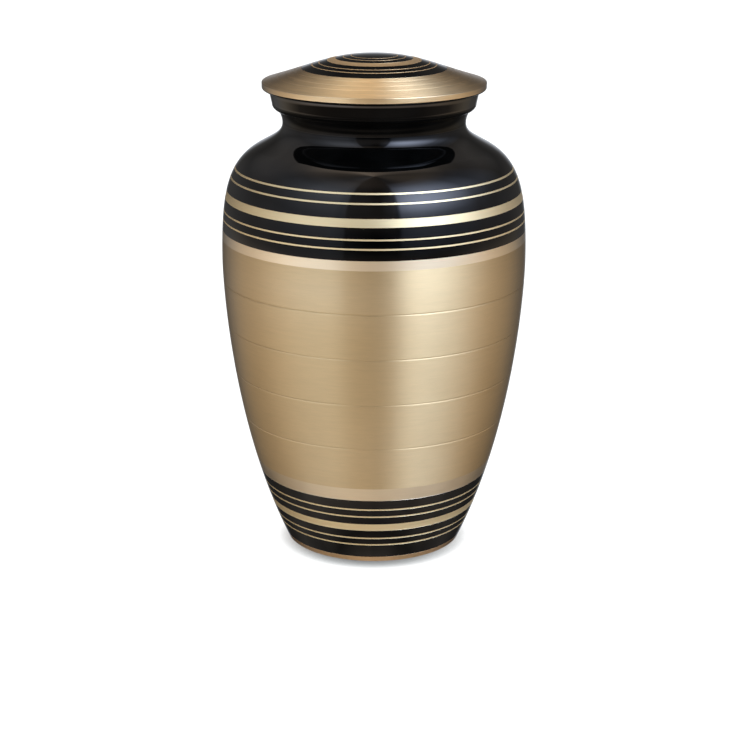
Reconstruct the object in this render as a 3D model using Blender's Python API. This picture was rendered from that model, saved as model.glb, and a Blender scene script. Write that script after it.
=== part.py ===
"""A turned brass urn with a lift-off lid, modelled in metres with +Z up.

The origin is the centre of the foot's underside. The vessel is one hollow turned piece:
a foot ring, a long belly with four turned grooves, a round shoulder, a neck and a collar.
The lid is a hollow crown whose flat underside rests on the collar and whose spigot hangs
in the mouth. Both are worked out as outlines of (radius, height) and turned about +Z.
"""
from math import cos, pi, radians, sin

import bmesh
import bpy

MM = 0.001

# Facets round each turned piece, and the height between the belly's plain rings
SEGMENTS = 48
RING_SPACING = 12.5 * MM

# Steps along each curve, from the foot up, then along the lid and inside both pieces
SHOULDER_STEPS = 9
NECK_STEPS = 7
THROAT_STEPS = 3
ROUND_STEPS = 4
CROWN_STEPS = 11
CORNER_STEPS = 3
CEILING_STEPS = 6
LINING_STEPS = (9, 6, 5)

# Steps of the finer curves that places are read from
FINE_STEPS = 240

# The vessel's outside, from the foot up
FOOT_R = 46.9 * MM
BELLY_R = 79.75 * MM
BELLY_RISE = 153.9 * MM
SHOULDER_RISE = 59.1 * MM
SHOULDER_FALL = radians(29.1)
NECK_R = 47.4 * MM
NECK_RISE = 12.6 * MM
THROAT_RISE = 6.8 * MM
COLLAR_HEIGHT = 10.1 * MM
COLLAR_LIP = 5.35 * MM
COLLAR_FLARE = 1.4 * MM
COLLAR_ROUND = 3.3 * MM

# The vessel's inside and underside
WALL = 1.8 * MM
FLOOR = 2.2 * MM
FOOT_RING = 6.0 * MM
FOOT_RECESS = 1.5 * MM
FOOT_EDGE = 0.6 * MM

# The turned grooves round the belly: V cuts, at shares of the belly's rise
GROOVE_PLACES = (0.457, 0.619, 0.778, 0.932)
GROOVE_WIDTH = 1.1 * MM
GROOVE_DEPTH = 0.4 * MM

# The lid
LID_OVERHANG = 3.7 * MM
LID_EDGE = 3.7 * MM
LID_RISE = 13.5 * MM
LID_CORNER = 0.9 * MM
LID_WALL = 1.8 * MM
SPIGOT_DEPTH = 10.0 * MM
SPIGOT_WALL = 1.6 * MM

# The clearances between the lid and the vessel
SEAT_GAP = 0.3 * MM
SPIGOT_GAP = 0.4 * MM

# The curves: where each one's two inner corners lie between its ends, as shares of the way
# across and up, or how far the shoulder and neck follow their shared slope
BELLY_CORNERS = ((0.909, 0.422), (1.0, 0.928))
SHOULDER_PULLS = (0.583, 0.294)
NECK_PULLS = (0.81, 0.443)
THROAT_CORNERS = ((0.0, 0.5), (0.857, 0.875))
CROWN_CORNERS = ((0.406, 0.0), (0.549, 0.426))

# Where the shoulder turns into the neck, as a share of the way from neck to belly
SHOULDER_SPREAD = 0.426

# Rings closer than this are one, and edges that turn by more than this stay crisp
WELD = 0.01 * MM
CRISP = radians(30)

# The heights that follow from the rises
BELLY_Z = BELLY_RISE
SHOULDER_Z = BELLY_Z + SHOULDER_RISE
NECK_Z = SHOULDER_Z + NECK_RISE
COLLAR_Z = NECK_Z + THROAT_RISE
MOUTH_Z = COLLAR_Z + COLLAR_HEIGHT
SEAT_Z = MOUTH_Z + SEAT_GAP
LID_EDGE_Z = SEAT_Z + LID_EDGE
TOP_Z = LID_EDGE_Z + LID_RISE
FLOOR_Z = FOOT_RECESS + FLOOR

# The radii that follow from the lip, the wall and the clearances
SHOULDER_R = NECK_R + SHOULDER_SPREAD * (BELLY_R - NECK_R)
COLLAR_R = NECK_R + COLLAR_LIP
MOUTH_R = COLLAR_R + COLLAR_FLARE
LID_R = MOUTH_R + LID_OVERHANG
BORE_R = NECK_R - WALL
SPIGOT_R = BORE_R - SPIGOT_GAP
HOLLOW_R = SPIGOT_R - SPIGOT_WALL

MATERIALS = {
    "satin brass": ((0.56, 0.42, 0.24), 1.0, 0.32),
    "brushed brass": ((0.62, 0.44, 0.22), 1.0, 0.28),
}


def between(start, end, shares):
    """The point at a share of the way across and a share of the way up."""
    return tuple(a + (b - a) * share for a, b, share in zip(start, end, shares))


def cubic(corners, steps):
    """Points along a cubic curve through its first and last corner, both included."""
    points = []
    for i in range(steps + 1):
        t = i / steps
        weights = ((1 - t) ** 3, 3 * t * (1 - t) ** 2, 3 * t * t * (1 - t), t ** 3)
        points.append(tuple(sum(w * c[axis] for w, c in zip(weights, corners)) for axis in (0, 1)))
    return points


def sweep(start, end, corners, steps):
    """A cubic curve whose inner corners are shares of the way between its ends."""
    first, second = (between(start, end, shares) for shares in corners)
    return cubic((start, first, second, end), steps)


def arc(centre, radius, start, end, steps):
    """Points along an arc of a circle, from one angle to the other, both ends included."""
    angles = [start + (end - start) * i / steps for i in range(steps + 1)]
    return [(centre[0] + radius * cos(a), centre[1] + radius * sin(a)) for a in angles]


def across(points, value, axis):
    """The other coordinate where one that rises along an outline reaches a value."""
    for low, high in zip(points, points[1:]):
        if low[axis] <= value <= high[axis]:
            share = (value - low[axis]) / (high[axis] - low[axis])
            return low[1 - axis] + share * (high[1 - axis] - low[1 - axis])
    return points[-1][1 - axis]


def shifted(points, distance):
    """An outline moved square to itself, to the left of the way that it runs."""
    moved = []
    for i, (r, z) in enumerate(points):
        before = points[max(i - 1, 0)]
        after = points[min(i + 1, len(points) - 1)]
        dr, dz = after[0] - before[0], after[1] - before[1]
        length = (dr * dr + dz * dz) ** 0.5
        moved.append((r - distance * dz / length, z + distance * dr / length))
    return moved


def belly(steps):
    """The wall from the foot up to its widest ring."""
    return sweep((FOOT_R, 0.0), (BELLY_R, BELLY_Z), BELLY_CORNERS, steps)


def shoulder(steps):
    """The wall from its widest ring to where the shoulder turns into the neck."""
    rise, fall = (pull * SHOULDER_RISE for pull in SHOULDER_PULLS)
    corners = (
        (BELLY_R, BELLY_Z),
        (BELLY_R, BELLY_Z + rise),
        (SHOULDER_R + fall * cos(SHOULDER_FALL), SHOULDER_Z - fall * sin(SHOULDER_FALL)),
        (SHOULDER_R, SHOULDER_Z),
    )
    return cubic(corners, steps)


def neck(steps):
    """The hollow sweep from the shoulder to the neck's narrowest ring."""
    climb, drop = (pull * NECK_RISE for pull in NECK_PULLS)
    corners = (
        (SHOULDER_R, SHOULDER_Z),
        (SHOULDER_R - climb * cos(SHOULDER_FALL), SHOULDER_Z + climb * sin(SHOULDER_FALL)),
        (NECK_R, NECK_Z - drop),
        (NECK_R, NECK_Z),
    )
    return cubic(corners, steps)


def groove(wall, height):
    """The three rings of one V groove: lower lip, bottom and upper lip."""
    half = GROOVE_WIDTH / 2
    cuts = ((-half, 0.0), (0.0, GROOVE_DEPTH), (half, 0.0))
    return [(across(wall, height + offset, 1) - depth, height + offset) for offset, depth in cuts]


def grooved_belly():
    """The belly's outline above the foot's small edge, with its grooves cut in."""
    wall = belly(FINE_STEPS)
    outline = [(across(wall, FOOT_EDGE, 1), FOOT_EDGE)]
    grooves = [share * BELLY_RISE for share in GROOVE_PLACES]
    stops = [FOOT_EDGE] + grooves + [BELLY_Z]
    for low, high in zip(stops, stops[1:]):
        rings = max(2, round((high - low) / RING_SPACING))
        for i in range(1, rings):
            height = low + (high - low) * i / rings
            outline.append((across(wall, height, 1), height))
        if high < BELLY_Z:
            outline.extend(groove(wall, high))
    return outline


def collar():
    """The sweep out from the neck, the collar's rounded underside, its face and its top."""
    under = COLLAR_R - COLLAR_ROUND
    throat = sweep((NECK_R, NECK_Z), (under, COLLAR_Z), THROAT_CORNERS, THROAT_STEPS)
    centre = (under, COLLAR_Z + COLLAR_ROUND)
    rounding = arc(centre, COLLAR_ROUND, -pi / 2, 0.0, ROUND_STEPS)
    return throat[1:] + rounding[1:] + [(MOUTH_R, MOUTH_Z), (BORE_R, MOUTH_Z)]


def lining():
    """The inside of the wall, from the neck's bore down to the floor's centre."""
    low, middle, high = LINING_STEPS
    wall = shifted(belly(low) + shoulder(middle)[1:] + neck(high)[1:], WALL)
    foot = across(shifted(belly(FINE_STEPS), WALL), FLOOR_Z, 1)
    clear = [point for point in wall if point[1] > FLOOR_Z + FLOOR]
    return clear[::-1] + [(foot, FLOOR_Z), (0.0, FLOOR_Z)]


def vessel_outline():
    """The vessel's section, from its underside's centre up the outside and down the inside."""
    ring = FOOT_R - FOOT_RING
    foot = [(0.0, FOOT_RECESS), (ring, FOOT_RECESS), (ring, 0.0), (FOOT_R - FOOT_EDGE, 0.0)]
    upper = shoulder(SHOULDER_STEPS) + neck(NECK_STEPS)[1:] + collar()
    return foot + grooved_belly() + upper + lining()


def crown(steps):
    """The lid's top face from its centre out: round at the middle, then a shallow flare."""
    return sweep((0.0, TOP_Z), (LID_R - LID_CORNER, LID_EDGE_Z), CROWN_CORNERS, steps)


def lid_outline():
    """The lid's section, from its top's centre out, round the edge and back under the crown."""
    corner = LID_R - LID_CORNER
    edge = arc((corner, LID_EDGE_Z - LID_CORNER), LID_CORNER, pi / 2, 0.0, CORNER_STEPS)[1:]
    edge += arc((corner, SEAT_Z + LID_CORNER), LID_CORNER, 0.0, -pi / 2, CORNER_STEPS)
    foot = SEAT_Z - SPIGOT_DEPTH
    spigot = [(SPIGOT_R, SEAT_Z), (SPIGOT_R, foot), (HOLLOW_R, foot)]
    inside = shifted(crown(FINE_STEPS), -LID_WALL)
    ceiling = []
    for i in range(CEILING_STEPS):
        radius = HOLLOW_R * (1 - i / CEILING_STEPS)
        ceiling.append((radius, across(inside, radius, 0)))
    return crown(CROWN_STEPS) + edge + spigot + ceiling + [(0.0, TOP_Z - LID_WALL)]


def finish(name):
    """A Principled material with its colour, metal and roughness."""
    colour, metallic, roughness = MATERIALS[name]
    material = bpy.data.materials.new(name)
    material.use_nodes = True
    shader = material.node_tree.nodes["Principled BSDF"]
    shader.inputs["Base Color"].default_value = (*colour, 1.0)
    shader.inputs["Metallic"].default_value = metallic
    shader.inputs["Roughness"].default_value = roughness
    return material


def turned(name, outline, material):
    """A closed solid turned about +Z from a section whose two ends lie on the axis."""
    bm = bmesh.new()
    points = [bm.verts.new((radius, 0.0, height)) for radius, height in outline]
    edges = [bm.edges.new(pair) for pair in zip(points, points[1:])]
    bmesh.ops.spin(
        bm,
        geom=points + edges,
        axis=(0.0, 0.0, 1.0),
        cent=(0.0, 0.0, 0.0),
        angle=2 * pi,
        steps=SEGMENTS,
    )
    bmesh.ops.remove_doubles(bm, verts=bm.verts, dist=WELD)
    bmesh.ops.recalc_face_normals(bm, faces=bm.faces)
    mesh = bpy.data.meshes.new(name)
    bm.to_mesh(mesh)
    bm.free()
    mesh.shade_smooth()
    mesh.set_sharp_from_angle(angle=CRISP)
    mesh.materials.append(finish(material))
    piece = bpy.data.objects.new(name, mesh)
    bpy.context.scene.collection.objects.link(piece)
    return piece


for old in list(bpy.data.objects):
    bpy.data.objects.remove(old)

turned("vessel", vessel_outline(), "satin brass")
turned("lid", lid_outline(), "brushed brass")
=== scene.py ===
"""A turned brass urn with a lift-off lid: its finishes, and a plain pale studio round it.

The vessel and the lid are each turned about +Z from one section, drawn point by point from the
axis out. A section is a row of stretches, and each stretch has its own finish: gloss black
lacquer, with a duller copy under the collar that mirrors far less as painted shade, brass lines
and bands cut through it, a satin brass belly between two polished strips, a brushed brass flare
on the lid, and plain turned brass inside and underneath.
"""
from math import atan2, cos, dist, hypot, pi, radians, sin

import bpy
from mathutils import Euler, Matrix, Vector
from mathutils.kdtree import KDTree


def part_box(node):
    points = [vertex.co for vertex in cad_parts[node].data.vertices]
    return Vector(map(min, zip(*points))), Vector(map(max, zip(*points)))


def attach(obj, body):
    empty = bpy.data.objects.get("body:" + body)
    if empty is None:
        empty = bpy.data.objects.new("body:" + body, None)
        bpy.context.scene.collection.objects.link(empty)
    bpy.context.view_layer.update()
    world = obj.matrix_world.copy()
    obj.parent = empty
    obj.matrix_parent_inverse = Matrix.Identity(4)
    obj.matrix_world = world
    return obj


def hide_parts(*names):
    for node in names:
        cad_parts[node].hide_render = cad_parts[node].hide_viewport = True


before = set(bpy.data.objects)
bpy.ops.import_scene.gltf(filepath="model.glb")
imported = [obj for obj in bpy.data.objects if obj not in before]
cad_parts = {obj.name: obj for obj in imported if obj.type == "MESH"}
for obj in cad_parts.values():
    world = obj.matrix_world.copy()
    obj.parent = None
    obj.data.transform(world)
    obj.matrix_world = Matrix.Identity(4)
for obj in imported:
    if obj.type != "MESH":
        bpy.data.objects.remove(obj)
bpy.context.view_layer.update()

MM = 0.001

# Which way a place along a curve is counted: out from the axis, or up
OUT, UP = 0, 1

# How far apart the rings lie along a curve, and how close one lies to each end of a stretch
BELLY_RINGS = 3.6 * MM
SHOULDER_RINGS = 2.0 * MM
NECK_RINGS = 1.1 * MM
CROWN_RINGS = 1.3 * MM
EDGE_RING = 0.25 * MM

# How many steps the fine curves, the roundings, the lining and a full turn have
FINE_STEPS = 600
THROAT_STEPS = 10
COLLAR_STEPS = 12
COLLAR_FACE = (0.15, 0.4, 0.7, 1.0)
MOUTH_STEPS = 5
FOOT_EDGE_STEPS = 4
LINING_STEPS = 36
LID_CORNER_STEPS = 5
LID_UNDER_STEPS = 8
CEILING_STEPS = 12
TURN_STEPS = 240

# Points closer than this are one, and an edge sharper than this stays crisp
WELD = 0.002 * MM
CRISP = radians(24)

# Sizes of the whole that the frame gives
VESSEL_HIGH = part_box("vessel")[1]
LID_LOW, LID_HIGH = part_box("lid")
BELLY_R, MOUTH_Z = VESSEL_HIGH.x, VESSEL_HIGH.z
LID_R, TOP_Z, SPIGOT_Z = LID_HIGH.x, LID_HIGH.z, LID_LOW.z

# The vessel's outside, from the foot up
FOOT_R = 46.9 * MM
BELLY_Z = 153.9 * MM
SHOULDER_Z = 213.0 * MM
SHOULDER_SPREAD = 0.426
SHOULDER_FALL = radians(29.1)
NECK_R = 47.4 * MM
NECK_Z = 225.6 * MM
COLLAR_Z = 232.4 * MM
COLLAR_R = 52.75 * MM
COLLAR_ROUND = 3.3 * MM
MOUTH_R = 54.15 * MM
MOUTH_ROUND = 0.5 * MM

# The curves' inner corners, as shares of the way across and up
BELLY_CORNERS = ((0.909, 0.422), (1.0, 0.928))
SHOULDER_PULLS = (0.583, 0.294)
NECK_PULLS = (0.81, 0.443)
THROAT_CORNERS = ((0.0, 0.5), (0.857, 0.875))
CROWN_CORNERS = ((0.406, 0.0), (0.549, 0.426))

# The vessel's inside and underside
WALL = 1.8 * MM
FLOOR_Z = 3.7 * MM
FOOT_RING = 6.0 * MM
FOOT_RECESS = 1.5 * MM
FOOT_EDGE = 0.3 * MM

# The lid's edge, seat and spigot
SEAT_Z = MOUTH_Z + 0.3 * MM
LID_EDGE_Z = 246.5 * MM
LID_CORNER = 0.4 * MM
LID_UNDER_ROUND = 1.2 * MM
LID_WALL = 1.8 * MM
SPIGOT_R = 45.2 * MM
SPIGOT_WALL = 1.6 * MM
SPIGOT_EDGE = 0.4 * MM

# Where one finish gives way to the next: up the vessel, out over the lid, and by how many points
# the lid's brass edge runs on into the rounding below it
BASE_BAND = 2.85 * MM
FOOT_BLACK = 39.6 * MM
LOWER_STRIP = 46.8 * MM
UPPER_STRIP = 165.85 * MM
SHOULDER_BLACK = 170.7 * MM
CROWN_BLACK = 37.4 * MM
LID_UNDER_BRASS = 2

# Brass cut through the lacquer: each mark's middle, by height or radius, and its width, in mm
THIN, WIDE = 0.85, 4.2
FINE, BROAD = 0.6, 4.4
FOOT_MARKS = ((11.2, THIN), (15.5, THIN), (22.6, WIDE), (29.4, THIN), (33.9, THIN))
SHOULDER_MARKS = ((176.4, THIN), (181.0, THIN), (189.0, WIDE), (198.0, THIN), (202.5, THIN))
CROWN_MARKS = ((11.8, FINE), (15.9, FINE), (22.1, BROAD), (28.45, FINE), (32.0, FINE))
MARK_DEPTH = 0.06 * MM
MARK_SIDE = 0.05 * MM
LACQUER_EDGE = 0.05 * MM

# The belly's turned grooves and the faint rings scribed in the lid's flare: where each lies, and
# one groove's half section as offset and depth, all in mm
GROOVES = (70.35, 95.2, 119.8, 143.4)
GROOVE_SECTION = ((0.66, 0.0), (0.5, 0.01), (0.42, 0.03), (0.1, 0.17), (0.0, 0.18))
SCRIBED = (40.6, 45.2, 49.6)
SCRIBE_SECTION = ((0.34, 0.0), (0.2, 0.02), (0.0, 0.14))

# The bake map: its margin, and the finish that is squeezed on it because it hardly shows
BAKE_MARGIN = 0.004
BAKE_SHARES = {"plain turned brass": 0.2}

# Lathe lines and the slower drift of their tone: each one's share of the wander, and its width in
# lines; then the part of the noise that shows, what the lines do to gloss and surface, the turn
# of the stretched highlights, and the clear coat over it all
LINE_WIDTH = 0.2 * MM
WANDER = 5.0
GRAIN_LAYERS = (("Lines", 1.0, 1.0), ("Drift", 0.35, 9.0))
GRAIN_DETAIL = 2.0
GRAIN_RANGE = (0.3, 0.7)
DRIFT_SHARE = 0.6
LINE_GLOSS = 0.04
LINE_HEIGHT = 0.02 * MM
ROUND_THE_PIECE = 0.25
COAT_ROUGHNESS = 0.04

# Handling: the size of the smears, how fine the dust is, the part of each noise that shows, and
# how much rougher a dulled place is
SMEAR_SIZE = 25 * MM
SMEAR_DETAIL = 4.0
SMEAR_RANGE = (0.45, 0.75)
DUST_FINENESS = 60.0
DUST_DETAIL = 1.0
DUST_RANGE = (0.68, 0.8)
DUST_SHARE = 0.6
DULLED = 0.03

# Black lacquer: its colour clean and dulled, the tint of what it mirrors, and its faint peel
LACQUER_CLEAN = (0.0009, 0.0009, 0.0008, 1.0)
LACQUER_DULLED = (0.0030, 0.0028, 0.0026, 1.0)
LACQUER_TINT = (1.0, 0.86, 0.79, 1.0)
LACQUER_IOR = 1.5
PEEL_FINENESS = 420.0
PEEL_DETAIL = 2.0
PEEL_RELIEF = 0.15
PEEL_HEIGHT = 0.01 * MM

# Each lacquer's roughness, and how strongly it mirrors; the lacquer under the collar is the same
# black made duller and far dimmer in what it mirrors, as painted shade
LACQUERS = {
    "black lacquer": {"gloss": 0.02, "level": 0.40},
    # Painted shade: under the collar the lacquer mirrors far less than the black lacquer does
    "shaded lacquer": {"gloss": 0.16, "level": 0.08},
}

# Each turned brass: its colour, roughness and unevenness of tone, then how it was worked
BRASSES = {
    "satin brass": {
        "colour": (0.81, 0.58, 0.315),
        "roughness": 0.42,
        "tone": 0.035,
        "line": 0.16 * MM,
        "wander": 14.0,
        "stretch": 0.9,
        "coat": 0.4,
    },
    "polished strip": {
        "colour": (0.95, 0.74, 0.50),
        "roughness": 0.36,
        "tone": 0.03,
        "line": 0.3 * MM,
        "stretch": 0.65,
        "coat": 0.7,
    },
    "bright-cut brass": {
        "colour": (0.98, 0.76, 0.44),
        "roughness": 0.50,
        "tone": 0.04,
        "stretch": 0.4,
        "coat": 0.3,
    },
    "crown-cut brass": {
        "colour": (0.74, 0.50, 0.27),
        "roughness": 0.50,
        "tone": 0.04,
        "upright": 0.0,
        "coat": 0.0,
        "relief": 0.02,
    },
    "base band": {
        "colour": (0.74, 0.45, 0.22),
        "roughness": 0.40,
        "tone": 0.05,
        "stretch": 0.6,
    },
    "brushed flare": {
        "colour": (0.88, 0.62, 0.34),
        "roughness": 0.45,
        "tone": 0.11,
        "upright": 0.0,
        "stretch": 0.85,
        "coat": 0.3,
        "relief": 0.12,
    },
    "lid edge": {
        "colour": (0.78, 0.54, 0.29),
        "roughness": 0.34,
        "tone": 0.05,
        "stretch": 0.6,
    },
    "plain turned brass": {
        "colour": (0.62, 0.44, 0.22),
        "roughness": 0.42,
        "tone": 0.10,
        "line": 0.5 * MM,
        "coat": 0.0,
    },
}

# The camera: how far back, up and aside it stands, its tilt and roll, and its lens and film in mm
CAMERA_BACK = 965.8 * MM
CAMERA_UP = 390.4 * MM
CAMERA_ASIDE = 0.7 * MM
CAMERA_PITCH = radians(17.37)
CAMERA_ROLL = radians(0.125)
LENS = 90.28
FILM_WIDTH = 36.0

# The floor: its size, finish and glow, and the shadow painted into that glow where the urn
# stands:
# how far it reaches, the way it leans, towards the back, and the part of it that shows
FLOOR_SIZE = 14.0
FLOOR_COLOUR = (0.16, 0.146, 0.115, 1.0)
FLOOR_ROUGHNESS = 0.9
FLOOR_GLOW = 1.1
CONTACT = 12 * MM
CONTACT_LEAN = (0.0, 0.87, 0.5)
CONTACT_SAMPLES = 12
CONTACT_RANGE = (0.2, 0.74)

# The studio as the urn sees it: each part's colour, strength, and how it fades by the way round
# from the camera and by height, in degrees. The camera itself sees plain white.
PLAIN_WHITE = (1.0, 1.0, 1.0, 1.0)
STUDIO = {
    "room": {
        "colour": (1.04, 1.0, 0.96),
        "strength": 0.3,
        "around": (
            (-180, 0.25), (-160, 0.25), (-120, 0.60), (-90, 0.75), (-60, 0.20), (-30, 0.0),
            (30, 0.0), (60, 0.10), (90, 0.75), (120, 0.50), (160, 0.25), (180, 0.25),
        ),
        "up": (
            (-90, 0.8), (-50, 0.3), (-30, 0.4), (-15, 0.9), (0, 1.1), (30, 0.8), (50, 0.25),
            (70, 0.5), (90, 0.5),
        ),
    },
    "backdrop": {
        "colour": (0.92, 0.98, 1.08),
        "strength": 0.75,
        "around": (
            (-180, 1.0), (-172, 0.8), (-166, 0.15), (-158, 0.0), (156, 0.0), (164, 0.25),
            (172, 0.9), (180, 1.0),
        ),
        "up": ((-40, 0.6), (-3, 1.0), (3, 0.7), (8, 0.15), (15, 0.0)),
    },
    "low sides": {
        "colour": (1.36, 1.0, 0.48),
        "strength": 0.31,
        "around": (
            (-140, 0.0), (-115, 0.7), (-95, 1.0), (-75, 0.8), (-55, 0.2), (-45, 0.0),
            (45, 0.0), (58, 0.3), (78, 1.0), (95, 1.2), (115, 0.7), (140, 0.0),
        ),
        "up": (
            (-44, 0.0), (-36, 0.2), (-26, 0.15), (-21, 1.0), (-15, 1.15), (-11, 0.8),
            (-8, 0.1), (-6, 0.0),
        ),
    },
    "upper sides": {
        "colour": (1.06, 1.0, 0.94),
        "strength": 0.21,
        "around": (
            (-170, 0.0), (-152, 1.0), (-125, 0.9), (-105, 0.3), (-90, 0.0), (95, 0.0),
            (110, 0.2), (130, 0.7), (152, 1.0), (170, 0.0),
        ),
        "up": ((18, 0.0), (34, 0.9), (46, 1.0), (60, 1.2), (75, 0.5)),
    },
    "gap": {
        "colour": (1.0, 0.99, 0.96),
        "strength": 0.36,
        "around": ((-26, 0.0), (-22, 1.0), (16, 1.0), (20, 0.0)),
        "up": ((2, 0.0), (10, 0.5), (22, 0.6), (32, 0.55), (42, 0.4), (52, 0.0)),
    },
    "table": {
        "colour": (1.06, 1.0, 0.90),
        "strength": 1.93,
        "around": (
            (-160, 0.0), (-130, 0.10), (-95, 0.20), (-75, 0.60), (-60, 0.70), (-35, 0.88),
            (-8, 0.88), (0, 0.73), (8, 0.76), (20, 0.80), (35, 0.78), (50, 0.58), (65, 0.60),
            (80, 0.42), (95, 0.17), (130, 0.08), (160, 0.0),
        ),
        "up": (
            (-90, 0.78), (-62, 0.07), (-55, 0.30), (-45, 0.64), (-36, 0.09), (-26, 0.05),
            (-21, 0.85), (-16, 1.06), (-11, 0.48), (-8, 0.12), (-5, 0.0),
        ),
    },
    "left panel": {
        "colour": (0.81, 1.0, 1.26),
        "strength": 2.41,
        "around": (
            (-160, 0.0), (-130, 0.07), (-105, 0.15), (-90, 0.31), (-75, 0.53), (-60, 0.88),
            (-45, 1.0), (-32, 1.0), (-27, 0.80), (-23, 0.62), (-21, 0.12), (-14, 0.08),
            (-6, 0.04), (0, 0.0),
        ),
        "up": (
            (-24, 0.0), (-15, 0.50), (-8, 0.12), (5, 0.30), (15, 0.27), (22, 0.37),
            (32, 0.50), (42, 0.68), (50, 0.70), (58, 0.50), (66, 0.32), (75, 0.12), (90, 0.15),
        ),
    },
    "right softbox": {
        "colour": (0.76, 1.0, 1.42),
        "strength": 6.6,
        "around": (
            (6, 0.0), (14, 0.04), (19, 0.09), (21.5, 0.60), (26, 0.75), (30, 0.88), (38, 1.0),
            (48, 0.98), (60, 0.79), (75, 0.47), (90, 0.15), (110, 0.04), (135, 0.0),
        ),
        "up": (
            (-8, 0.0), (0, 0.09), (5, 0.12), (10, 0.15), (15, 0.27), (20, 0.54), (26, 0.96),
            (32, 1.28), (38, 1.26), (44, 1.05), (50, 0.85), (58, 0.46), (64, 0.19), (72, 0.02),
            (90, 0.0),
        ),
    },
    "overhead": {
        "colour": (1.13, 1.0, 0.81),
        "strength": 1.95,
        "around": (
            (-180, 0.85), (-165, 0.95), (-150, 1.0), (-135, 0.5), (-120, 0.22), (-90, 0.12),
            (-60, 0.10), (-30, 0.20), (0, 0.15), (30, 0.08), (60, 0.25), (90, 0.25),
            (120, 0.17), (150, 0.50), (180, 0.85),
        ),
        "up": ((38, 0.0), (48, 0.05), (56, 0.25), (64, 0.9), (70, 1.1), (90, 1.0)),
    },
}


def set_camera():
    """The camera before the urn, looking slightly down on it."""
    data = bpy.data.cameras.new("camera")
    data.lens = LENS
    data.sensor_width = FILM_WIDTH
    data.dof.use_dof = False
    camera = bpy.data.objects.new("camera", data)
    bpy.context.scene.collection.objects.link(camera)
    pitch = Euler((pi / 2 - CAMERA_PITCH, 0.0, 0.0)).to_matrix()
    tilt = pitch @ Matrix.Rotation(CAMERA_ROLL, 3, "Z")
    stand = Matrix.Translation((CAMERA_ASIDE, -CAMERA_BACK, CAMERA_UP))
    camera.matrix_world = stand @ tilt.to_4x4()
    bpy.context.scene.camera = camera


def cubic(corners, steps):
    """Points along a cubic curve through its first and last corner, both included."""
    points = []
    for i in range(steps + 1):
        t = i / steps
        weights = ((1 - t) ** 3, 3 * t * (1 - t) ** 2, 3 * t * t * (1 - t), t ** 3)
        points.append(
            tuple(sum(w * c[axis] for w, c in zip(weights, corners)) for axis in (OUT, UP))
        )
    return points


def sweep(start, end, shares):
    """A fine cubic curve whose inner corners are shares of the way between its ends."""
    inner = [tuple(a + (b - a) * s for a, b, s in zip(start, end, pair)) for pair in shares]
    return cubic((start, *inner, end), FINE_STEPS)


def arc(centre, radius, start, end, steps):
    """Points along an arc of a circle, from one angle to the other, both ends included."""
    angles = [start + (end - start) * i / steps for i in range(steps + 1)]
    return [(centre[0] + radius * cos(a), centre[1] + radius * sin(a)) for a in angles]


def outside_curve():
    """The vessel's outer wall as one fine curve, from the foot to the neck's narrowest ring."""
    joint = (NECK_R + SHOULDER_SPREAD * (BELLY_R - NECK_R), SHOULDER_Z)
    rise, fall = (pull * (SHOULDER_Z - BELLY_Z) for pull in SHOULDER_PULLS)
    climb, drop = (pull * (NECK_Z - SHOULDER_Z) for pull in NECK_PULLS)
    slope = (cos(SHOULDER_FALL), -sin(SHOULDER_FALL))
    belly = sweep((FOOT_R, 0.0), (BELLY_R, BELLY_Z), BELLY_CORNERS)
    shoulder = cubic(
        (
            (BELLY_R, BELLY_Z),
            (BELLY_R, BELLY_Z + rise),
            (joint[0] + fall * slope[0], joint[1] + fall * slope[1]),
            joint,
        ),
        FINE_STEPS,
    )
    neck = cubic(
        (
            joint,
            (joint[0] - climb * slope[0], joint[1] - climb * slope[1]),
            (NECK_R, NECK_Z - drop),
            (NECK_R, NECK_Z),
        ),
        FINE_STEPS,
    )
    return belly + shoulder[1:] + neck[1:]


WALL_CURVE = outside_curve()
CROWN_CURVE = sweep((0.0, TOP_Z), (LID_R - LID_CORNER, LID_EDGE_Z), CROWN_CORNERS)


def place(curve, axis, value, depth):
    """The point where a curve reaches a height or radius, moved in square to the curve."""
    for low, high in zip(curve, curve[1:]):
        if low[axis] <= value <= high[axis]:
            share = (value - low[axis]) / (high[axis] - low[axis])
            break
    across, up = high[0] - low[0], high[1] - low[1]
    length = hypot(across, up)
    side = 1.0 if axis == UP else -1.0
    return (
        low[0] + share * across - side * depth * up / length,
        low[1] + share * up + side * depth * across / length,
    )


def run(curve, axis, start, end, spacing):
    """Rings along a curve from one height or radius to another, with one close to each end."""
    stops = [start, start + EDGE_RING]
    inner = end - start - 2 * EDGE_RING
    rings = max(1, round(inner / spacing))
    stops += [start + EDGE_RING + inner * i / rings for i in range(1, rings + 1)] + [end]
    return [place(curve, axis, stop, 0.0) for stop in stops]


def wall(start, end, spacing):
    """A stretch of the vessel's outer wall between two heights."""
    return run(WALL_CURVE, UP, start, end, spacing)


def cut(curve, axis, middle, width):
    """A mark's section: a steep side down, a flat floor and a steep side up."""
    half = width / 2
    floor = half - MARK_SIDE
    sides = ((-half, 0.0), (-floor, MARK_DEPTH), (floor, MARK_DEPTH), (half, 0.0))
    return [place(curve, axis, middle + offset, depth) for offset, depth in sides]


def marked(curve, axis, start, end, marks, spacing, cut_finish="bright-cut brass"):
    """Black lacquer from one place to another, with brass marks cut through it."""
    stretches = []
    for middle, width in marks:
        middle, width = middle * MM, width * MM
        stretches.append(("black lacquer", run(curve, axis, start, middle - width / 2, spacing)))
        stretches.append((cut_finish, cut(curve, axis, middle, width)))
        start = middle + width / 2
    stretches.append(("black lacquer", run(curve, axis, start, end, spacing)))
    return stretches


def lacquer_edge(curve, axis, value):
    """The small nick where the lacquer ends against bare brass."""
    nick = LACQUER_EDGE
    sides = ((-nick, 0.0), (0.0, nick), (nick, 0.0))
    return [place(curve, axis, value + offset, depth) for offset, depth in sides]


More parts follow.
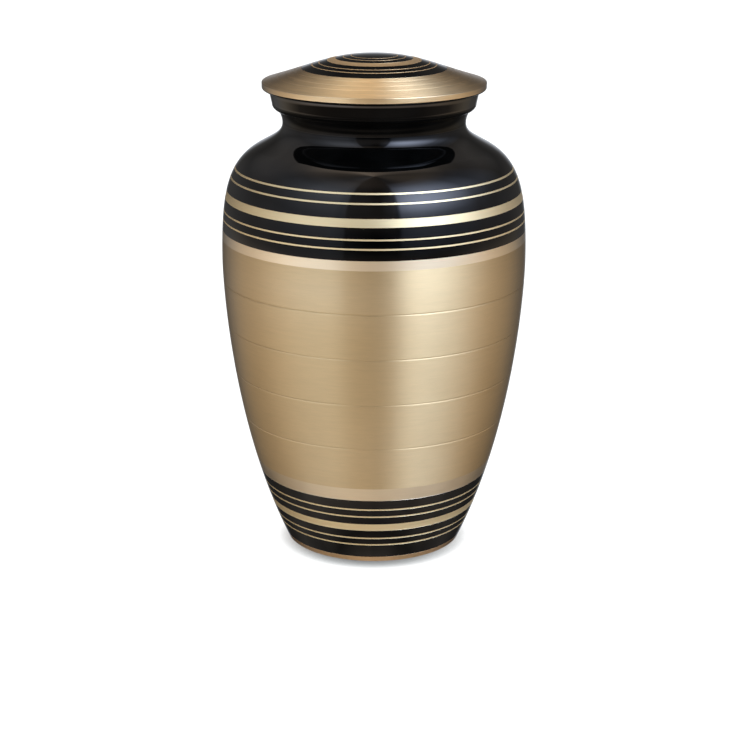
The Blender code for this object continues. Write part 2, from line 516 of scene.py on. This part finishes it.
def hollowed(curve, axis, middle, half_section):
    """A groove's section from its half: down the one flank and up the other."""
    down = [(-offset, depth) for offset, depth in half_section]
    up = [(offset, depth) for offset, depth in half_section[-2::-1]]
    return [place(curve, axis, middle + offset * MM, depth * MM) for offset, depth in down + up]


def grooved(curve, axis, start, end, spacing, middles, half_section):
    """Bare brass from one place to another, with grooves turned into it."""
    lip = half_section[0][0] * MM
    rings = []
    for middle in middles:
        middle = middle * MM
        rings += run(curve, axis, start, middle - lip, spacing)
        rings += hollowed(curve, axis, middle, half_section)
        start = middle + lip
    return rings + run(curve, axis, start, end, spacing)


def grooved_belly():
    """The satin belly between its two polished strips, with its turned grooves."""
    return grooved(
        WALL_CURVE, UP, LOWER_STRIP, UPPER_STRIP, BELLY_RINGS, GROOVES, GROOVE_SECTION
    )


def brushed_flare():
    """The lid's brass flare, with its faint scribed rings."""
    start, end = CROWN_BLACK + LACQUER_EDGE, LID_R - LID_CORNER
    return grooved(CROWN_CURVE, OUT, start, end, CROWN_RINGS, SCRIBED, SCRIBE_SECTION)


def under_collar():
    """The sweep out from the neck and the collar's rounded underside."""
    under = COLLAR_R - COLLAR_ROUND
    throat = sweep((NECK_R, NECK_Z), (under, COLLAR_Z), THROAT_CORNERS)
    centre = (under, COLLAR_Z + COLLAR_ROUND)
    rounding = arc(centre, COLLAR_ROUND, -pi / 2, 0.0, COLLAR_STEPS)
    return throat[:: FINE_STEPS // THROAT_STEPS] + rounding[1:]


def collar():
    """The collar's flared face and its rounded lip."""
    low, high = COLLAR_Z + COLLAR_ROUND, MOUTH_Z - MOUTH_ROUND
    face = [
        (COLLAR_R + share * (MOUTH_R - COLLAR_R), low + share * (high - low))
        for share in COLLAR_FACE
    ]
    return face + arc((MOUTH_R - MOUTH_ROUND, high), MOUTH_ROUND, 0.0, pi / 2, MOUTH_STEPS)


def lining():
    """The inside of the wall, from the mouth's bore down to the floor's centre."""
    bore = NECK_R - WALL
    mouth = [(bore + MOUTH_ROUND, MOUTH_Z), (bore, MOUTH_Z - MOUTH_ROUND)]
    inside = [
        place(WALL_CURVE, UP, NECK_Z + (FLOOR_Z - NECK_Z) * i / LINING_STEPS, WALL)
        for i in range(LINING_STEPS - 1)
    ]
    corner = place(WALL_CURVE, UP, FLOOR_Z, WALL)
    return mouth + inside + [corner, (corner[0] / 2, FLOOR_Z), (0.0, FLOOR_Z)]


def vessel_section():
    """The vessel's section, from its underside's centre up the outside and down the inside."""
    ring = FOOT_R - FOOT_RING
    flat = place(WALL_CURVE, UP, FOOT_EDGE, 0.0)[0] - FOOT_EDGE
    underside = [
        (0.0, FOOT_RECESS),
        (ring / 2, FOOT_RECESS),
        (ring, FOOT_RECESS),
        (ring, 0.0),
        (flat, 0.0),
    ]
    edge = arc((flat, FOOT_EDGE), FOOT_EDGE, -pi / 2, 0.0, FOOT_EDGE_STEPS)
    nick = LACQUER_EDGE
    return [
        ("plain turned brass", underside),
        ("base band", edge + wall(FOOT_EDGE, BASE_BAND - nick, NECK_RINGS)),
        ("base band", lacquer_edge(WALL_CURVE, UP, BASE_BAND)),
        *marked(
            WALL_CURVE, UP, BASE_BAND + nick, FOOT_BLACK - nick, FOOT_MARKS, SHOULDER_RINGS
        ),
        ("polished strip", lacquer_edge(WALL_CURVE, UP, FOOT_BLACK)),
        ("polished strip", wall(FOOT_BLACK + nick, LOWER_STRIP, SHOULDER_RINGS)),
        ("satin brass", grooved_belly()),
        ("polished strip", wall(UPPER_STRIP, SHOULDER_BLACK - nick, SHOULDER_RINGS)),
        ("polished strip", lacquer_edge(WALL_CURVE, UP, SHOULDER_BLACK)),
        *marked(
            WALL_CURVE, UP, SHOULDER_BLACK + nick, SHOULDER_Z, SHOULDER_MARKS, SHOULDER_RINGS
        ),
        ("black lacquer", wall(SHOULDER_Z, NECK_Z, NECK_RINGS)),
        # Under the collar the lacquer is the dimmer copy: painted shade
        ("shaded lacquer", under_collar()),
        ("black lacquer", collar()),
        ("plain turned brass", lining()),
    ]


def lid_section():
    """The lid's section, from its top's centre out, round the edge and back under the crown."""
    hollow = SPIGOT_R - SPIGOT_WALL
    centre = (LID_R - LID_CORNER, LID_EDGE_Z - LID_CORNER)
    corner = arc(centre, LID_CORNER, pi / 2, 0.0, LID_CORNER_STEPS)
    under = (LID_R - LID_UNDER_ROUND, SEAT_Z + LID_UNDER_ROUND)
    face = [(LID_R, centre[1] - EDGE_RING), (LID_R, under[1] + EDGE_RING)]
    rounding = arc(under, LID_UNDER_ROUND, 0.0, -pi / 2, LID_UNDER_STEPS)
    spigot = [
        (SPIGOT_R, SEAT_Z),
        (SPIGOT_R, SPIGOT_Z + SPIGOT_EDGE),
        (SPIGOT_R - SPIGOT_EDGE, SPIGOT_Z),
        (hollow + SPIGOT_EDGE, SPIGOT_Z),
        (hollow, SPIGOT_Z + SPIGOT_EDGE),
    ]
    ceiling = [
        place(CROWN_CURVE, OUT, hollow * (1 - i / CEILING_STEPS), LID_WALL)
        for i in range(CEILING_STEPS)
    ]
    black = CROWN_BLACK - LACQUER_EDGE
    return [
        *marked(CROWN_CURVE, OUT, 0.0, black, CROWN_MARKS, CROWN_RINGS, "crown-cut brass"),
        ("brushed flare", lacquer_edge(CROWN_CURVE, OUT, CROWN_BLACK)),
        ("brushed flare", brushed_flare()),
        ("lid edge", corner + face + rounding[:LID_UNDER_BRASS]),
        ("black lacquer", rounding[LID_UNDER_BRASS:] + spigot[:1]),
        ("plain turned brass", spigot[1:] + ceiling + [(0.0, TOP_Z - LID_WALL)]),
    ]


def joined(stretches):
    """One row of points from stretches that meet end to end, and the finish of each step."""
    points, finishes = [stretches[0][1][0]], []
    for finish, stretch in stretches:
        for point in stretch:
            if dist(point, points[-1]) > WELD:
                points.append(point)
                finishes.append(finish)
    return points, finishes


def draw_section(name, points):
    """Draws a section as one chain of edges, extruded point by point from its first corner."""
    bpy.ops.object.select_all(action="DESELECT")
    bpy.ops.mesh.primitive_plane_add(size=MM, location=(0.0, 0.0, 0.0))
    piece = bpy.context.active_object
    piece.name = piece.data.name = name
    bpy.ops.object.mode_set(mode="EDIT")
    bpy.ops.mesh.select_all(action="SELECT")
    bpy.ops.mesh.merge(type="CENTER")
    bpy.ops.transform.translate(value=(points[0][0], 0.0, points[0][1]))
    for (r0, z0), (r1, z1) in zip(points, points[1:]):
        step = (r1 - r0, 0.0, z1 - z0)
        bpy.ops.mesh.extrude_region_move(TRANSFORM_OT_translate={"value": step})
    return piece


def turn_section():
    """Turns the drawn chain about the upright axis and closes its seam and its two poles."""
    bpy.ops.mesh.select_all(action="SELECT")
    bpy.ops.mesh.spin(
        steps=TURN_STEPS,
        angle=2 * pi,
        center=(0.0, 0.0, 0.0),
        axis=(0.0, 0.0, 1.0),
    )
    bpy.ops.mesh.select_all(action="SELECT")
    bpy.ops.mesh.remove_doubles(threshold=WELD)
    bpy.ops.mesh.normals_make_consistent(inside=False)
    bpy.ops.object.mode_set(mode="OBJECT")
    bpy.ops.object.shade_smooth_by_angle(angle=CRISP)


def ring_numbers(mesh, points):
    """Which point of the section each corner of the mesh was turned from."""
    rings = KDTree(len(points))
    for i, (radius, height) in enumerate(points):
        rings.insert((radius, 0.0, height), i)
    rings.balance()
    return [rings.find((hypot(v.co.x, v.co.y), 0.0, v.co.z))[1] for v in mesh.vertices]


def give_finishes(mesh, rings, finishes):
    """Each turned face takes the finish of its step along the section."""
    names = list(dict.fromkeys(finishes))
    for name in names:
        mesh.materials.append(FINISHES[name])
    for face in mesh.polygons:
        step = min(rings[v] for v in face.vertices)
        face.material_index = names.index(finishes[step])


def bake_heights(points, finishes):
    """How far up the bake map each ring lies: by length, with hidden stretches squeezed."""
    reached = [0.0]
    for (start, end), finish in zip(zip(points, points[1:]), finishes):
        reached.append(reached[-1] + dist(start, end) * BAKE_SHARES.get(finish, 1.0))
    return [BAKE_MARGIN + (1 - 2 * BAKE_MARGIN) * length / reached[-1] for length in reached]


def lay_out_map(mesh, rings, heights):
    """The bake map: round the piece one way, along the section the other."""
    layer = mesh.uv_layers.new(name="OFBake")
    for face in mesh.polygons:
        middle = atan2(face.center.y, face.center.x)
        for loop in face.loop_indices:
            v = mesh.loops[loop].vertex_index
            corner = mesh.vertices[v].co
            turn = middle
            if hypot(corner.x, corner.y) > WELD:
                off = atan2(corner.y, corner.x) - middle
                turn += (off + pi) % (2 * pi) - pi
            layer.data[loop].uv = (0.5 + turn / (2 * pi), heights[rings[v]])


def turned(name, stretches):
    """One finished turned piece that stands for the frame's node of the same name."""
    points, finishes = joined(stretches)
    piece = draw_section(name + "_finish", points)
    turn_section()
    rings = ring_numbers(piece.data, points)
    give_finishes(piece.data, rings, finishes)
    lay_out_map(piece.data, rings, bake_heights(points, finishes))
    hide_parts(name)
    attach(piece, "root")


def plug(tree, node, inputs):
    """Gives each input of a node a value, or links it to a socket."""
    for socket, value in inputs.items():
        if isinstance(value, bpy.types.NodeSocket):
            tree.links.new(value, node.inputs[socket])
        else:
            node.inputs[socket].default_value = value


def add(tree, kind, settings, inputs):
    """Adds a node with its options set and its inputs plugged, and hands back its outputs."""
    node = tree.nodes.new(kind)
    for option, value in settings.items():
        setattr(node, option, value)
    plug(tree, node, inputs)
    return node.outputs


def calc(tree, operation, *values):
    """The result of one sum."""
    return add(tree, "ShaderNodeMath", {"operation": operation}, dict(enumerate(values)))[0]


def vector(tree, operation, inputs):
    """What one step of vector arithmetic gives."""
    return add(tree, "ShaderNodeVectorMath", {"operation": operation}, inputs)


def spread(tree, value, low, high, start=0.0, end=1.0):
    """A value moved from one range to another."""
    inputs = {"Value": value, "From Min": start, "From Max": end, "To Min": low, "To Max": high}
    return add(tree, "ShaderNodeMapRange", {}, inputs)["Result"]


def noise(tree, position, scale, detail):
    """Soft noise from 0 to 1."""
    inputs = {"Vector": position, "Scale": scale, "Detail": detail}
    return add(tree, "ShaderNodeTexNoise", {}, inputs)["Fac"]


def mixed(tree, share, first, second):
    """One colour that gives way to another."""
    inputs = {"Factor": share, 6: first, 7: second}
    return add(tree, "ShaderNodeMix", {"data_type": "RGBA"}, inputs)[2]


def raised(tree, height, relief, distance):
    """A surface's normals once it is raised by a height."""
    inputs = {"Strength": relief, "Distance": distance, "Height": height}
    return add(tree, "ShaderNodeBump", {}, inputs)["Normal"]


def new_group(name, inputs, outputs):
    """A node group with its named inputs and outputs, each with the kind of its socket."""
    group = bpy.data.node_groups.new(name, "ShaderNodeTree")
    for socket, (kind, value) in inputs.items():
        made = group.interface.new_socket(
            socket, in_out="INPUT", socket_type="NodeSocket" + kind
        )
        if value is not None:
            made.default_value = value
    for socket, kind in outputs.items():
        group.interface.new_socket(socket, in_out="OUTPUT", socket_type="NodeSocket" + kind)
    return group, group.nodes.new("NodeGroupInput").outputs, group.nodes.new("NodeGroupOutput")


def turned_grain_group():
    """Fine lathe lines that run round the piece, and the slower drift of their tone."""
    group, given, result = new_group(
        "turned grain",
        {
            "Position": ("Vector", None),
            "Upright": ("Float", 1.0),
            "Line Width": ("Float", LINE_WIDTH),
            "Wander": ("Float", WANDER),
        },
        {"Lines": "Float", "Drift": "Float"},
    )
    parts = add(group, "ShaderNodeSeparateXYZ", {}, {0: given["Position"]})
    flat = add(group, "ShaderNodeCombineXYZ", {}, {0: parts[0], 1: parts[1]})[0]
    radius = vector(group, "LENGTH", {0: flat})["Value"]
    facing = vector(group, "NORMALIZE", {0: flat})["Vector"]
    upright = calc(group, "MULTIPLY", calc(group, "SUBTRACT", parts[2], radius), given["Upright"])
    along = calc(group, "DIVIDE", calc(group, "ADD", radius, upright), given["Line Width"])
    for output, wander, width in GRAIN_LAYERS:
        reach = calc(group, "MULTIPLY", given["Wander"], wander)
        turn = vector(group, "SCALE", {0: facing, "Scale": reach})["Vector"]
        rise = add(group, "ShaderNodeCombineXYZ", {}, {2: calc(group, "DIVIDE", along, width)})[0]
        spot = vector(group, "ADD", {0: turn, 1: rise})["Vector"]
        plug(group, result, {output: noise(group, spot, 1.0, GRAIN_DETAIL)})
    return group


def handling_group():
    """Faint cloths' smears and dust that dull a bright surface here and there."""
    group, given, result = new_group(
        "handling",
        {"Position": ("Vector", None), "Smear Size": ("Float", SMEAR_SIZE)},
        {"Dullness": "Float"},
    )
    scale = calc(group, "DIVIDE", 1.0, given["Smear Size"])
    spot = vector(group, "SCALE", {0: given["Position"], "Scale": scale})["Vector"]
    smears = spread(group, noise(group, spot, 1.0, SMEAR_DETAIL), 0.0, 1.0, *SMEAR_RANGE)
    specks = noise(group, spot, DUST_FINENESS, DUST_DETAIL)
    dust = spread(group, specks, 0.0, DUST_SHARE, *DUST_RANGE)
    plug(group, result, {"Dullness": calc(group, "MAXIMUM", smears, dust)})
    return group


def blank(name):
    """A new material with its node tree and its shader."""
    material = bpy.data.materials.new(name)
    material.use_nodes = True
    tree = material.node_tree
    return material, tree, tree.nodes["Principled BSDF"]


def on_piece(tree):
    """The point on the piece, in its own frame, and how dulled the piece is there."""
    position = add(tree, "ShaderNodeTexCoord", {}, {})["Object"]
    handling = add(tree, "ShaderNodeGroup", {"node_tree": HANDLING}, {"Position": position})
    return position, handling["Dullness"]


def brass(
    name,
    colour,
    roughness,
    tone,
    upright=1.0,
    line=LINE_WIDTH,
    wander=WANDER,
    stretch=0.0,
    coat=1.0,
    relief=0.3,
):
    """Turned brass under clear lacquer: lathe lines in its colour, gloss and surface."""
    material, tree, shader = blank(name)
    position, dull = on_piece(tree)
    grain = add(
        tree,
        "ShaderNodeGroup",
        {"node_tree": GRAIN},
        {"Position": position, "Upright": upright, "Line Width": line, "Wander": wander},
    )
    lines = spread(tree, grain["Lines"], -1.0, 1.0, *GRAIN_RANGE)
    drift = spread(tree, grain["Drift"], -DRIFT_SHARE, DRIFT_SHARE, *GRAIN_RANGE)
    lift = spread(tree, calc(tree, "ADD", lines, drift), 1 - tone, 1 + tone, -1.0, 1.0)
    gloss = spread(tree, grain["Lines"], -LINE_GLOSS, LINE_GLOSS, *GRAIN_RANGE)
    gloss = calc(tree, "ADD", gloss, roughness)
    gloss = calc(tree, "ADD", gloss, calc(tree, "MULTIPLY", dull, DULLED))
    tangent = add(tree, "ShaderNodeTangent", {"direction_type": "RADIAL", "axis": "Z"}, {})[0]
    looks = {
        "Base Color": vector(tree, "SCALE", {0: colour, "Scale": lift})["Vector"],
        "Roughness": gloss,
        "Normal": raised(tree, grain["Lines"], relief, LINE_HEIGHT),
        "Metallic": 1.0,
        "Anisotropic": stretch,
        "Anisotropic Rotation": ROUND_THE_PIECE,
        "Tangent": tangent,
        "Coat Weight": coat,
        "Coat Roughness": COAT_ROUGHNESS,
    }
    plug(tree, shader, looks)
    return material


def lacquer(name, gloss, level):
    """Black lacquer: a deep skin with the faintest peel, dulled a little by handling."""
    material, tree, shader = blank(name)
    position, dull = on_piece(tree)
    peel = noise(tree, position, PEEL_FINENESS, PEEL_DETAIL)
    looks = {
        "Base Color": mixed(tree, dull, LACQUER_CLEAN, LACQUER_DULLED),
        "Roughness": spread(tree, dull, gloss, gloss + DULLED),
        "Normal": raised(tree, peel, PEEL_RELIEF, PEEL_HEIGHT),
        "IOR": LACQUER_IOR,
        "Specular IOR Level": level,
        "Specular Tint": LACQUER_TINT,
    }
    plug(tree, shader, looks)
    return material


def ramp(tree, angle, stops, reach):
    """A grey by angle, from stops in degrees that may run from minus its reach to plus it."""
    node = tree.nodes.new("ShaderNodeValToRGB")
    plug(tree, node, {"Fac": angle})
    row = node.color_ramp
    row.interpolation = "LINEAR"
    while len(row.elements) < len(stops):
        row.elements.new(0.5)
    for element, (degrees, grey) in zip(row.elements, stops):
        element.position = (degrees + reach) / (2 * reach)
        element.color = (grey, grey, grey, 1.0)
    return node.outputs["Color"]


def light_studio():
    """Soft light from all round: each part is a colour that fades by way round and by height."""
    world = bpy.data.worlds.new("studio")
    bpy.context.scene.world = world
    world.use_nodes = True
    tree = world.node_tree
    way = add(tree, "ShaderNodeTexCoord", {}, {})["Generated"]
    parts = add(tree, "ShaderNodeSeparateXYZ", {}, {0: way})
    turn = calc(tree, "ARCTAN2", parts[0], calc(tree, "MULTIPLY", parts[1], -1.0))
    turn = spread(tree, turn, 0.0, 1.0, -pi, pi)
    rise = spread(tree, calc(tree, "ARCSINE", parts[2]), 0.0, 1.0, -pi / 2, pi / 2)
    light = (0.0, 0.0, 0.0)
    for part in STUDIO.values():
        around, up = ramp(tree, turn, part["around"], 180), ramp(tree, rise, part["up"], 90)
        shade = vector(tree, "MULTIPLY", {0: around, 1: up})["Vector"]
        colour = tuple(c * part["strength"] for c in part["colour"])
        light = vector(tree, "MULTIPLY_ADD", {0: shade, 1: colour, 2: light})["Vector"]
    seen = add(tree, "ShaderNodeLightPath", {}, {})["Is Camera Ray"]
    shown = mixed(tree, seen, light, PLAIN_WHITE)
    plug(tree, tree.nodes["Background"], {"Color": shown})


def lay_floor():
    """A plain white floor that reaches past the picture, its glow darkened into a painted shadow
    round the urn's foot.
    """
    bpy.ops.object.select_all(action="DESELECT")
    bpy.ops.mesh.primitive_plane_add(size=FLOOR_SIZE, location=(0.0, 0.0, 0.0))
    floor = bpy.context.active_object
    floor.name = "floor"
    material, tree, shader = blank("white floor")
    lean = add(tree, "ShaderNodeCombineXYZ", {}, dict(enumerate(CONTACT_LEAN)))[0]
    # Painted shadow: the glow fades where the floor is shut in by the urn
    painted_shadow = add(
        tree,
        "ShaderNodeAmbientOcclusion",
        {"samples": CONTACT_SAMPLES},
        {"Distance": CONTACT, "Normal": lean},
    )["AO"]
    looks = {
        "Base Color": FLOOR_COLOUR,
        "Roughness": FLOOR_ROUGHNESS,
        "Specular IOR Level": 0.0,
        "Emission Color": spread(tree, painted_shadow, 0.0, 1.0, *CONTACT_RANGE),
        "Emission Strength": FLOOR_GLOW,
    }
    plug(tree, shader, looks)
    floor.data.materials.append(material)
    floor.visible_glossy = False


set_camera()
GRAIN = turned_grain_group()
HANDLING = handling_group()
FINISHES = {name: lacquer(name, **looks) for name, looks in LACQUERS.items()}
FINISHES.update({name: brass(name, **looks) for name, looks in BRASSES.items()})
turned("vessel", vessel_section())
turned("lid", lid_section())
light_studio()
lay_floor()
bpy.context.scene.view_settings.view_transform = "Standard"
